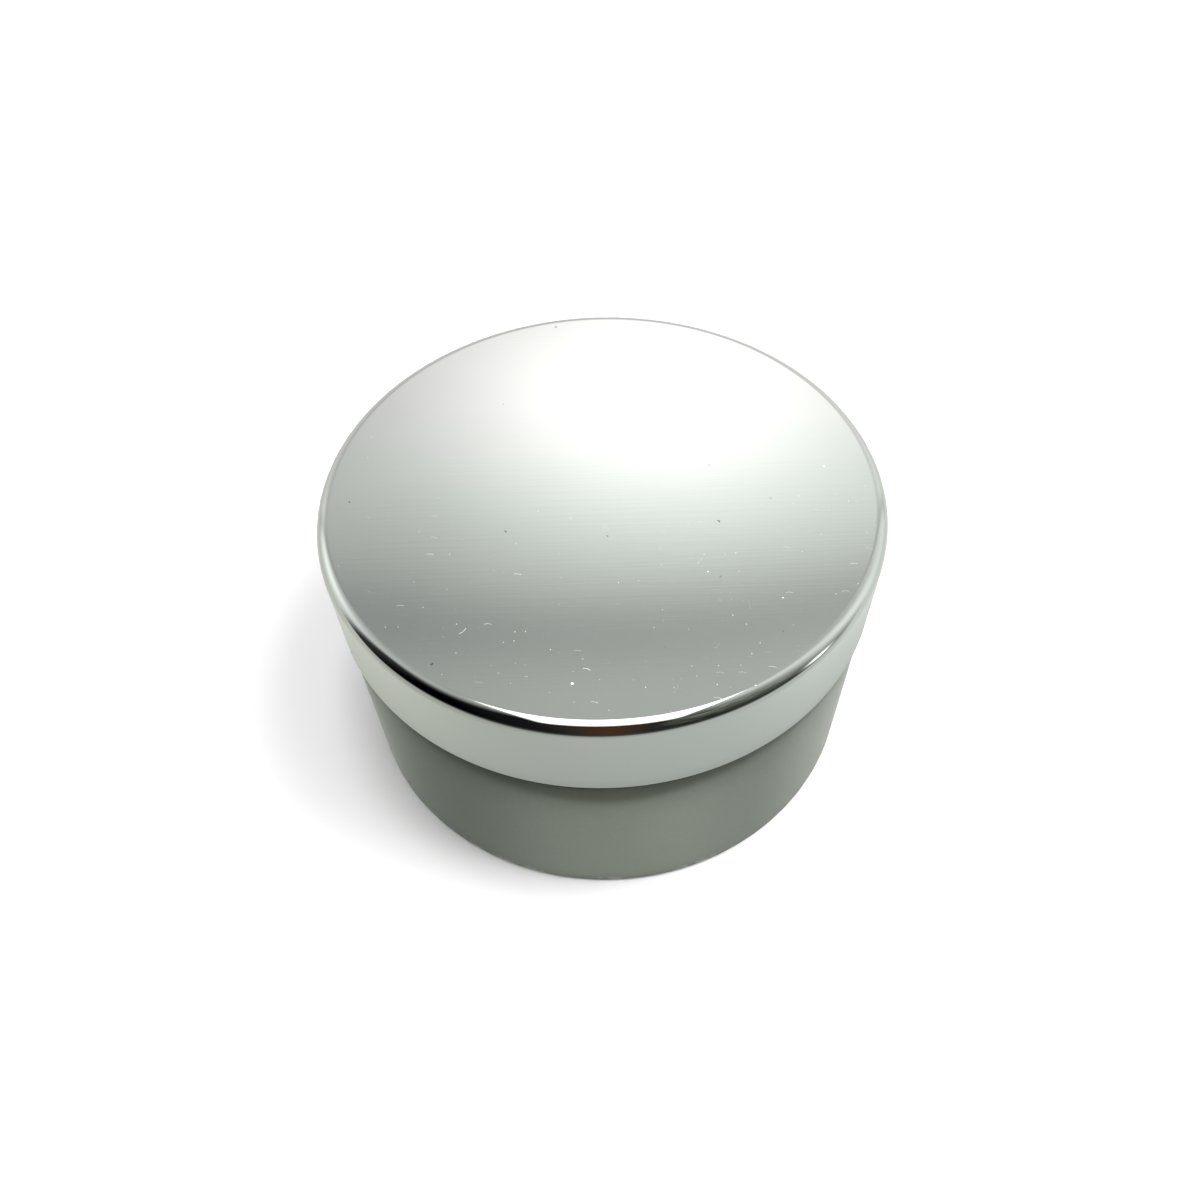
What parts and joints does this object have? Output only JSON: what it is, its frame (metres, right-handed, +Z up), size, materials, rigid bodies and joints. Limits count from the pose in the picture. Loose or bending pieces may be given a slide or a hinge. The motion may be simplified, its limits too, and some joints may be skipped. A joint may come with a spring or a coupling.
{
  "type": "lidded dappen dish",
  "caption": "Squat round metal-cased pot holding a thick glass dish with a round well, closed by a flat mirror-finish slip-on lid.",
  "frame": {"origin": "centre of the face the dish stands on", "axes": "+Z up along the axis that every piece is round about; +X and +Y are alike"},
  "size_m": [0.06, 0.06, 0.0334],
  "materials": {
    "mirror_metal": "mirror polished, a few dust specks and hairline scratches",
    "satin_metal": "satin",
    "cap_plastic": "moulded, semi-matte",
    "sleeve_plastic": "moulded, semi-matte",
    "seal_foam": "fine closed-cell foam",
    "silicone": "translucent, matte",
    "glass": "clear, fire polished",
    "foot_rubber": "matte"
  },
  "bodies": {
    "pot": {"pot_shell": "satin_metal", "neck_sleeve": "sleeve_plastic", "dish_gasket": "silicone", "foot_pad": "foot_rubber"},
    "dish": {"glass_dish": "glass"},
    "lid": {"lid_shell": "mirror_metal", "lid_inner_cap": "cap_plastic", "lid_seal_disc": "seal_foam"}
  },
  "joints": [
    {"name": "dish_lift", "type": "slide", "parent": "pot", "child": "dish", "axis": [0, 0, 1], "range_m": [0, 0.035]},
    {"name": "lid_lift", "type": "slide", "parent": "dish", "child": "lid", "axis": [0, 0, 1], "range_m": [0, 0.04]}
  ]
}
